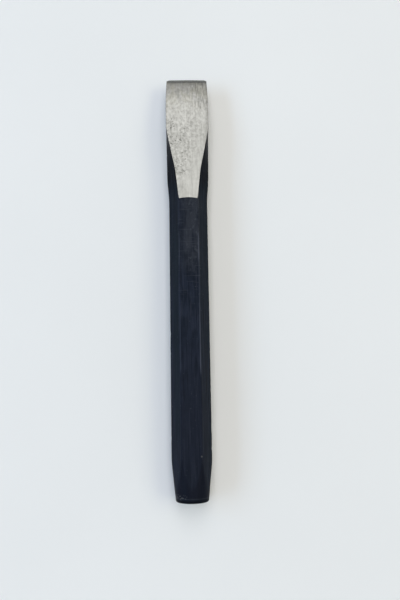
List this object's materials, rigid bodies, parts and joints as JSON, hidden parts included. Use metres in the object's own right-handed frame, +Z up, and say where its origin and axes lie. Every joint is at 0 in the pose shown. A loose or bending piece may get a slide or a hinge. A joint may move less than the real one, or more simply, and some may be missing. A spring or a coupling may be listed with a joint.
{
  "type": "cold chisel",
  "caption": "Flat cold chisel: hexagonal steel bar spread into a ground wedge blade, with a tapered, domed striking head and black lacquer on everything that isn't ground.",
  "frame": {"origin": "on the surface that the chisel lies on, under the middle of its length and width", "axes": "+Y along the tool towards the cutting edge, +X across the blade, +Z up from the flat that the shank lies on"},
  "size_m": [0.021, 0.203, 0.016],
  "materials": {
    "ground_steel": "belt ground, satin, lines along the blade",
    "black_lacquer": "satin, thin coat, blue-black"
  },
  "bodies": {
    "root": {"steel_forging": "ground_steel", "black_lacquer": "black_lacquer"}
  },
  "joints": []
}
